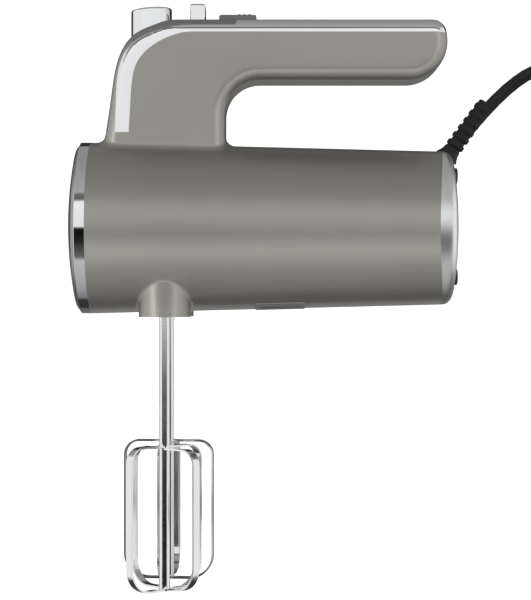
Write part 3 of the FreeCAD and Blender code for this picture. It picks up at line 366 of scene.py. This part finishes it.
plugSet = {"centre": (158.5, 55.0, floorZ / mm + 7.0), "length": 35.0, "width": 26.0, "height": 14.0,
           "ribs": 5, "ribDepth": 0.6, "corner": 2.4,
           "firstRib": -6.0, "ribPitch": 3.2, "ribThick": 1.5, "ribMargin": 9.0, "ribSink": 0.45,
           "ribSoft": 0.3}


def plugBody():
    # a flat moulded plug: narrow and rounded where the cord enters, with finger ribs on its broad faces
    shape = bmesh.new()
    bmesh.ops.create_cube(shape, size=1.0)
    bmesh.ops.scale(shape, vec=(plugSet["length"], plugSet["width"], plugSet["height"]), verts=shape.verts)
    longways = [e for e in shape.edges if abs(e.verts[0].co.x - e.verts[1].co.x) > 1]
    bmesh.ops.subdivide_edges(shape, edges=longways, cuts=1, use_grid_fill=True)
    middle = [v for v in shape.verts if abs(v.co.x) < 1e-3]
    bmesh.ops.translate(shape, vec=(plugSet["length"] / 2 - 8.0, 0, 0), verts=middle)
    back = [v for v in shape.verts if v.co.x > plugSet["length"] / 2 - 1.0]
    bmesh.ops.scale(shape, vec=(1, 0.37, 0.72), verts=back)
    corners = [e for e in shape.edges if e.calc_face_angle(0.0) > math.radians(12)]
    bmesh.ops.bevel(shape, geom=corners, offset=plugSet["corner"], segments=5, profile=0.5, affect="EDGES",
                    material=-1)
    for number in range(plugSet["ribs"]):
        along = plugSet["firstRib"] + number * plugSet["ribPitch"]
        for up in (-1, 1):
            made = bmesh.ops.create_cube(shape, size=1.0)["verts"]
            ribSize = (plugSet["ribThick"], plugSet["width"] - plugSet["ribMargin"], 2 * plugSet["ribDepth"])
            bmesh.ops.scale(shape, vec=ribSize, verts=made)
            ribZ = up * (plugSet["height"] / 2 - plugSet["ribSink"])
            bmesh.ops.translate(shape, vec=(along, 0, ribZ), verts=made)
            rims = list({e for v in made for e in v.link_edges})
            bmesh.ops.bevel(shape, geom=rims, offset=plugSet["ribSoft"], segments=2, profile=0.5,
                            affect="EDGES", material=-1)
    bmesh.ops.scale(shape, vec=(mm, mm, mm), verts=shape.verts)
    bmesh.ops.translate(shape, vec=Vector(plugSet["centre"]) * mm, verts=shape.verts)
    return finished(shape, "plugShell", blackPlastic, "housing", ("plug_body",))


tieSet = {"centre": (260.0, 12.0), "half": 6.5, "thick": 0.6, "width": 7.0, "corner": 2.2}


def coilTie():
    # a soft strap closed round the coil
    half, thick = tieSet["half"], tieSet["thick"]
    shape = bmesh.new()
    bmesh.ops.create_grid(shape, x_segments=1, y_segments=1, size=half)
    corners = list(shape.verts)
    bmesh.ops.rotate(shape, cent=(0, 0, 0), matrix=Matrix.Rotation(math.pi / 2, 3, "X"), verts=shape.verts)
    bmesh.ops.translate(shape, vec=(0, 0, half), verts=shape.verts)
    bmesh.ops.bevel(shape, geom=corners, offset=tieSet["corner"], segments=5, profile=0.5,
                    affect="VERTICES", material=-1)
    ring = list(shape.edges)
    bmesh.ops.delete(shape, geom=list(shape.faces), context="FACES_ONLY")
    grown = bmesh.ops.extrude_edge_only(shape, edges=ring)["geom"]
    far = [v for v in grown if isinstance(v, bmesh.types.BMVert)]
    bmesh.ops.translate(shape, vec=(0, tieSet["width"], 0), verts=far)
    bmesh.ops.translate(shape, vec=(0, -tieSet["width"] / 2, thick), verts=shape.verts)
    bmesh.ops.recalc_face_normals(shape, faces=shape.faces)
    bmesh.ops.solidify(shape, geom=list(shape.faces), thickness=-thick)
    bmesh.ops.scale(shape, vec=(mm, mm, mm), verts=shape.verts)
    tieX, tieY = tieSet["centre"]
    bmesh.ops.translate(shape, vec=(tieX * mm, tieY * mm, floorZ), verts=shape.verts)
    return finished(shape, "tieStrap", blackPlastic, "housing", ("coil_tie",))


reliefSet = {"core": 3.5, "bore": 3.25, "rib": 4.8, "ribLength": 2.7, "pitch": 4.6, "count": 6, "first": 5.6,
             "round": 0.55, "foot": 6.2, "footLength": 5.0, "inner": 12.0, "collar": 6.4,
             "steps": 72, "shrink": 0.09, "footTop": 4.4}


def strainRelief():
    # a moulded sleeve whose rings shrink a little towards its tip, its foot spread over the cover's corner
    core, rib, soft = reliefSet["core"], reliefSet["rib"], reliefSet["round"]
    profile = [(reliefSet["bore"], -reliefSet["inner"]), (core, -reliefSet["inner"]), (core, -8.0),
               (reliefSet["collar"], -8.0), (reliefSet["collar"], -6.0), (core, -6.0), (core, -1.0),
               (reliefSet["foot"], -1.0)]
    for step in range(1, 6):
        share = step / 5
        narrowing = (reliefSet["footTop"] - reliefSet["foot"]) * math.sin(share * math.pi / 2)
        profile.append((reliefSet["foot"] + narrowing, -1.0 + reliefSet["footLength"] * share))
    for number in range(reliefSet["count"]):
        low = reliefSet["first"] + number * reliefSet["pitch"]
        high = low + reliefSet["ribLength"]
        radius = rib - reliefSet["shrink"] * number
        profile += [(core + 0.25, low - 0.35), (core + 0.45, low), (radius - soft, low)]
        profile += [(radius - soft * 0.3, low + soft * 0.3), (radius, low + soft), (radius, high - soft)]
        profile += [(radius - soft * 0.3, high - soft * 0.3), (radius - soft, high), (core + 0.45, high)]
        profile.append((core + 0.25, high + 0.35))
    tip = 6.0 + reliefSet["count"] * reliefSet["pitch"]
    profile += [(core + 0.2, tip - 0.5), (core - 0.05, tip), (reliefSet["bore"], tip)]
    shape = spunShape(profile, reliefSet["steps"])
    place = Matrix.Scale(mm, 4) @ Matrix.Translation(reliefBase) @ turnAlong(reliefWay)
    bmesh.ops.transform(shape, matrix=place, space=Matrix.Identity(4), verts=shape.verts)
    return finished(shape, "reliefSleeve", blackRubber, "housing", ("strain_relief",), 50.0)


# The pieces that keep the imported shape, with their finishes
copied = {
    "housing_left": (housingPaint, "housing", "housing_paint", 0.0),
    "housing_right": (housingPaint, "housing", "housing_paint", 0.0),
    "control_panel": (panelPlastic, "housing", "panel_grey", 0.0),
    "handle_trim": (chrome, "housing", "chrome", 0.3),
    "front_ring": (chrome, "housing", "chrome", 0.0),
    "front_cap": (capPaint, "housing", "front_satin", 0.0),
    "rear_cover": (rearPlate, "housing", "chrome", 0.0),
    "rear_feet": (blackRubber, "housing", "black_rubber", 0.0),
    "vent_plate": (ventPlastic, "housing", "vent_grey", 0.12),
    "eject_button": (chrome, "eject", "chrome", 0.25),
    "speed_slider": (chrome, "speed", "chrome", 0.3),
    "turbo_button": (buttonPlastic, "turbo", "button_grey", 0.2),
    "beater_shaft_left": (beaterSteel, "beater_left", "beater_steel", 0.2),
    "beater_shaft_right": (beaterSteel, "beater_right", "beater_steel", 0.2),
    "beater_loop_outer_left": (beaterSteel, "beater_left", "beater_steel", 0.22),
    "beater_loop_inner_left": (beaterSteel, "beater_left", "beater_steel", 0.22),
    "beater_loop_outer_right": (beaterSteel, "beater_right", "beater_steel", 0.22),
    "beater_loop_inner_right": (beaterSteel, "beater_right", "beater_steel", 0.22),
    "plug_pins": (brassMetal, "housing", "brass", 0.0),
    "rear_screws": (plainSteel, "housing", "steel", 0.1),
    "housing_screws": (plainSteel, "housing", "steel", 0.1),
}
inside = {
    "plainSteel": ["motor_shaft", "spindle_left", "spindle_right", "gearbox_screws", "board_screws",
                   "front_bearing", "middle_bearing", "rear_bearing", "eject_spring", "turbo_spring",
                   "brush_springs", "stator_core", "rotor_core"],
    "blackPlastic": ["cord_clamp", "speed_switch", "turbo_switch", "terminal_block", "fan", "gearbox_cradle",
                     "gearbox_cover", "ejector_guide", "ejector_fork", "motor_bracket"],
    "whiteNylon": ["worm_wheel_left", "worm_wheel_right"],
    "copperWire": ["rotor_windings", "stator_coils", "commutator"],
    "brassMetal": ["brush_boxes", "spindle_bushes"],
    "carbonBlock": ["carbon_brushes"],
    "boardGreen": ["circuit_board"],
    "boardBlue": ["board_parts"],
}
for finishName, nodes in inside.items():
    for node in nodes:
        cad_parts[node].data.materials.clear()
        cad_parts[node].data.materials.append(bpy.data.materials[finishName])
for node, (finish, body, slotName, soften) in copied.items():
    refinedCopy(node, finish, body, soften)
print("packed shapes finished")

line, lineStart = cordLine()
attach(line, "housing")
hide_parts("cord", "cord_tail", "cord_coil")
plug = plugBody()
tie = coilTie()
sleeve = strainRelief()
print("cord, plug, tie and relief made")


# Stage: a pale floor swept up behind, a room of long soft strips for the metal to mirror, and soft lamps
stageSet = {"drop": 0.0003, "reach": 3.0, "sweep": 1.0, "height": 4.0, "shown": 0.97, "mirrored": 0.3,
            "ends": 0.9, "arcSteps": 12}
# the room as strips that run along the mixer: degrees up from the front, and how bright each one is
roomStrips = [(-180, 0.22), (-142, 0.12), (-136, 0.035), (-114, 0.04), (-109, 0.22), (-85, 0.4), (-46, 0.55),
              (-41, 0.14), (-20, 0.02), (-2, 0.0), (0, 0.9), (33, 0.98), (36, 0.14), (43, 0.14), (47, 0.42),
              (70, 0.36), (100, 0.3), (138, 0.3), (144, 0.03), (180, 0.03)]


def mixedShaders(tree, share, low, high):
    mix = tree.nodes.new("ShaderNodeMixShader")
    for slot, part in zip(mix.inputs, (share, low, high)):
        tree.links.new(part.socket, slot)
    return Wire(tree, mix.outputs[0])


class Room(Finish):
    # the same node helpers on the world's tree
    def __init__(self, name):
        self.material = bpy.data.worlds.new(name)
        self.material.use_nodes = True
        self.tree = self.material.node_tree
        self.tree.nodes.clear()
        self.place = self.add("ShaderNodeTexCoord", out="Generated")


def paleRoom():
    room = Room("paleRoom")
    bpy.context.scene.world = room.material
    split = room.tree.nodes.new("ShaderNodeSeparateXYZ")
    room.tree.links.new(room.place.socket, split.inputs[0])
    x, y, z = (Wire(room.tree, out) for out in split.outputs)
    share = z.maths("ARCTAN2", z, y * -1.0) * (0.5 / math.pi) + 0.5
    ramp = room.tree.nodes.new("ShaderNodeValToRGB")
    while len(ramp.color_ramp.elements) < len(roomStrips):
        ramp.color_ramp.elements.new(0.5)
    for stop, (degrees, light) in zip(ramp.color_ramp.elements, roomStrips):
        stop.position = (degrees + 180) / 360
        stop.color = (light, light, light, 1.0)
    room.tree.links.new(share.socket, ramp.inputs[0])
    strips = room.add("ShaderNodeBackground", Color=Wire(room.tree, ramp.outputs[0]), Strength=1.0)
    ends = room.add("ShaderNodeBackground", Color=white, Strength=stageSet["ends"])
    shown = room.add("ShaderNodeBackground", Color=white, Strength=1.0)
    endShare = ((x * x - 0.55) * 5.0).clamped()
    cameraRay = room.add("ShaderNodeLightPath", out="Is Camera Ray")
    mirrored = mixedShaders(room.tree, endShare, strips, ends)
    mixed = mixedShaders(room.tree, cameraRay, mirrored, shown)
    end = room.tree.nodes.new("ShaderNodeOutputWorld")
    room.tree.links.new(mixed.socket, end.inputs["Surface"])


def floorFinish():
    # nearly white where it is looked at, and greyer where the metal mirrors it
    floor = Finish("paleFloor", Roughness=0.9)
    glow = floor.add("ShaderNodeEmission", Strength=stageSet["shown"])
    matte = floor.add("ShaderNodeBsdfDiffuse", Color=(0.5, 0.5, 0.5, 1.0))
    dull = floor.add("ShaderNodeEmission", Strength=stageSet["mirrored"])
    both = floor.tree.nodes.new("ShaderNodeAddShader")
    floor.tree.links.new(glow.socket, both.inputs[0])
    floor.tree.links.new(matte.socket, both.inputs[1])
    cameraRay = floor.add("ShaderNodeLightPath", out="Is Camera Ray")
    mixed = mixedShaders(floor.tree, cameraRay, dull, Wire(floor.tree, both.outputs[0]))
    floor.tree.links.new(mixed.socket, floor.tree.nodes["Material Output"].inputs["Surface"])
    return floor.material


def sweptFloor():
    shape = bmesh.new()
    reach, sweep, arcSteps = stageSet["reach"], stageSet["sweep"], stageSet["arcSteps"]
    points = [(0, -reach, 0), (0, reach - sweep, 0)]
    points += [(0, reach - sweep + sweep * math.sin(a), sweep - sweep * math.cos(a))
               for a in [math.pi / 2 * n / arcSteps for n in range(1, arcSteps + 1)]]
    points.append((0, reach, stageSet["height"]))
    verts = [shape.verts.new(p) for p in points]
    edges = [shape.edges.new(pair) for pair in zip(verts, verts[1:])]
    wide = bmesh.ops.extrude_edge_only(shape, edges=edges)["geom"]
    far = [v for v in wide if isinstance(v, bmesh.types.BMVert)]
    bmesh.ops.translate(shape, vec=(2 * reach + 2, 0, 0), verts=far)
    bmesh.ops.translate(shape, vec=(-reach - 1, 0, floorZ - stageSet["drop"]), verts=shape.verts)
    for face in shape.faces:
        face.smooth = True
    data = bpy.data.meshes.new("sweptFloor")
    shape.to_mesh(data)
    shape.free()
    data.materials.append(floorFinish())
    piece = newObject("sweptFloor", data)
    piece.visible_glossy = False
    piece.visible_diffuse = False
    piece.visible_shadow = False


def lamp(name, centre, aim, size, power, mirrored):
    data = bpy.data.lights.new(name, "AREA")
    data.shape = "RECTANGLE"
    data.size, data.size_y = size
    data.energy = power
    piece = newObject(name, data)
    piece.location = centre
    piece.rotation_euler = (Vector(aim) - Vector(centre)).to_track_quat("-Z", "Y").to_euler()
    piece.visible_glossy = mirrored
    piece.visible_camera = False
    return piece


bpy.context.scene.view_settings.view_transform = "Standard"
sweptFloor()
paleRoom()
middle = (-0.035, 0.0, -0.09)
barrelFront = (-0.086, 0.0, -0.1)
# name, centre, aim, size, power, and whether it lights only the satin pieces
lampRows = [
    ("lowFront", (-0.035, -1.0, -0.7), middle, (1.7, 0.5), 3.0, True),
    ("lowBack", (-0.035, 1.0, -0.7), middle, (1.7, 0.5), 1.0, True),
    ("leftFront", (-0.906, -0.8, -0.1), barrelFront, (0.22, 1.1), 2.6, True),
    ("rightFront", (0.734, -0.8, -0.1), barrelFront, (0.22, 1.1), 1.3, True),
    ("highFront", (-0.3, -1.2, 0.35), middle, (1.8, 0.3), 3.0, False),
    ("behind", (0.25, 1.5, -0.2), middle, (1.6, 0.7), 5.0, False),
]
satinOnly = bpy.data.collections.new("satinOnly")
for name in ("housing_leftFinished", "housing_rightFinished", "control_panelFinished"):
    satinOnly.objects.link(bpy.data.objects[name])
for name, centre, aim, size, power, satin in lampRows:
    glow = lamp(name, centre, aim, size, power, satin)
    if satin:
        glow.light_linking.receiver_collection = satinOnly
print("stage and lamps set")
